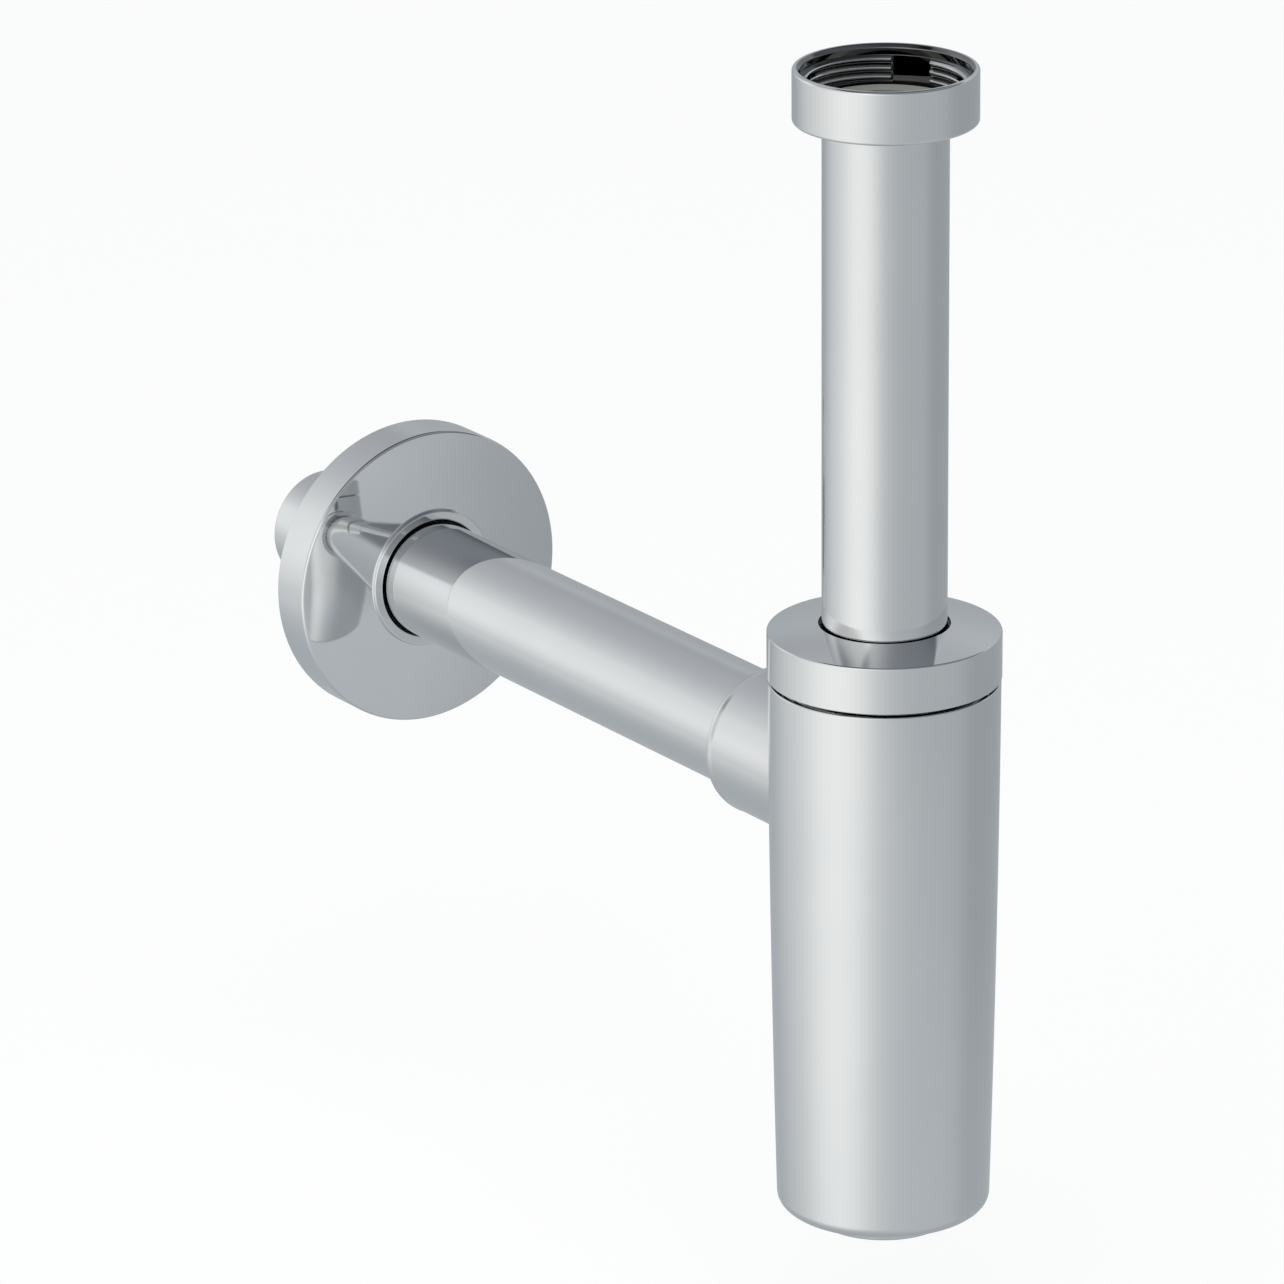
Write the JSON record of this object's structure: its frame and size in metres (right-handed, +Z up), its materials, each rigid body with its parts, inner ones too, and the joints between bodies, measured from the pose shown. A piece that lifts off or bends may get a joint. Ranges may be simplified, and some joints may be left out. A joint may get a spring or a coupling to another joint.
{
  "type": "bottle trap",
  "caption": "Chromed bottle trap: a union nut and dip tube above a tapered bottle with a screw cap and clean-out plug, and a side tube with a sliding wall rosette.",
  "frame": {"origin": "centre of the inlet washer's top face, on the inlet nut's axis, where the basin waste seats", "axes": "+Z up along the dip tube and the inlet, +Y along the outlet tube towards the wall"},
  "size_m": [0.0826, 0.2952, 0.3092],
  "materials": {
    "chrome": "bright chrome plate on moulded plastic",
    "washer_rubber": "matte pale rubber",
    "black_rubber": "matte black rubber",
    "white_plastic": "matte moulded plastic"
  },
  "bodies": {
    "inlet_nut": {"inlet_nut": "chrome"},
    "inlet_washer": {"inlet_washer": "washer_rubber"},
    "dip_tube": {"dip_tube": "chrome"},
    "neck_seal": {"neck_seal": "black_rubber"},
    "bottle": {"bottle_body": "chrome"},
    "slip_ring": {"slip_ring": "white_plastic"},
    "neck_nut": {"neck_nut": "chrome"},
    "plug_o_ring": {"plug_o_ring": "black_rubber"},
    "clean_out_plug": {"clean_out_plug": "chrome"},
    "outlet_seal": {"outlet_seal": "black_rubber"},
    "outlet_tube": {"outlet_tube": "chrome"},
    "rosette_ring": {"rosette_ring": "black_rubber"},
    "rosette": {"rosette": "chrome"}
  },
  "joints": [
    {"name": "tube_lift", "type": "slide", "parent": "inlet_nut", "child": "inlet_washer", "axis": [0, 0, 1], "range_m": [0, 0.1]},
    {"name": "tube_swivel", "type": "hinge", "parent": "inlet_washer", "child": "dip_tube", "pos_m": [0, 0, 0], "axis": [0, 0, 1], "continuous": true},
    {"name": "height_slide", "type": "slide", "parent": "dip_tube", "child": "neck_seal", "axis": [0, 0, 1], "range_m": [-0.009, 0.02]},
    {"name": "bottle_swivel", "type": "hinge", "parent": "neck_seal", "child": "bottle", "pos_m": [0, 0, -0.2], "axis": [0, 0, 1], "continuous": true},
    {"name": "neck_nut_lift", "type": "slide", "parent": "bottle", "child": "slip_ring", "axis": [0, 0, 1], "range_m": [0, 0.0069]},
    {"name": "neck_nut_turn", "type": "hinge", "parent": "slip_ring", "child": "neck_nut", "pos_m": [0, 0, -0.144], "axis": [0, 0, 1], "range_deg": [0, 1080]},
    {"name": "plug_drop", "type": "slide", "parent": "bottle", "child": "plug_o_ring", "axis": [0, 0, -1], "range_m": [0, 0.0069]},
    {"name": "plug_turn", "type": "hinge", "parent": "plug_o_ring", "child": "clean_out_plug", "pos_m": [0, 0, -0.296], "axis": [0, 0, -1], "range_deg": [0, 1080]},
    {"name": "outlet_swivel", "type": "hinge", "parent": "bottle", "child": "outlet_seal", "pos_m": [0, 0, -0.183], "axis": [0, 1, 0], "continuous": true},
    {"name": "outlet_slide", "type": "slide", "parent": "outlet_seal", "child": "outlet_tube", "axis": [0, 1, 0], "range_m": [-0.005, 0.005]},
    {"name": "rosette_slide", "type": "slide", "parent": "outlet_tube", "child": "rosette_ring", "axis": [0, 1, 0], "range_m": [-0.145, 0.035]},
    {"name": "rosette_turn", "type": "hinge", "parent": "rosette_ring", "child": "rosette", "pos_m": [0, 0, -0.183], "axis": [0, 1, 0], "continuous": true}
  ],
  "couplings": [
    {"joint": "neck_nut_lift", "follows": "neck_nut_turn", "m_per_rad": 0.00036606},
    {"joint": "plug_drop", "follows": "plug_turn", "m_per_rad": 0.00036606}
  ]
}
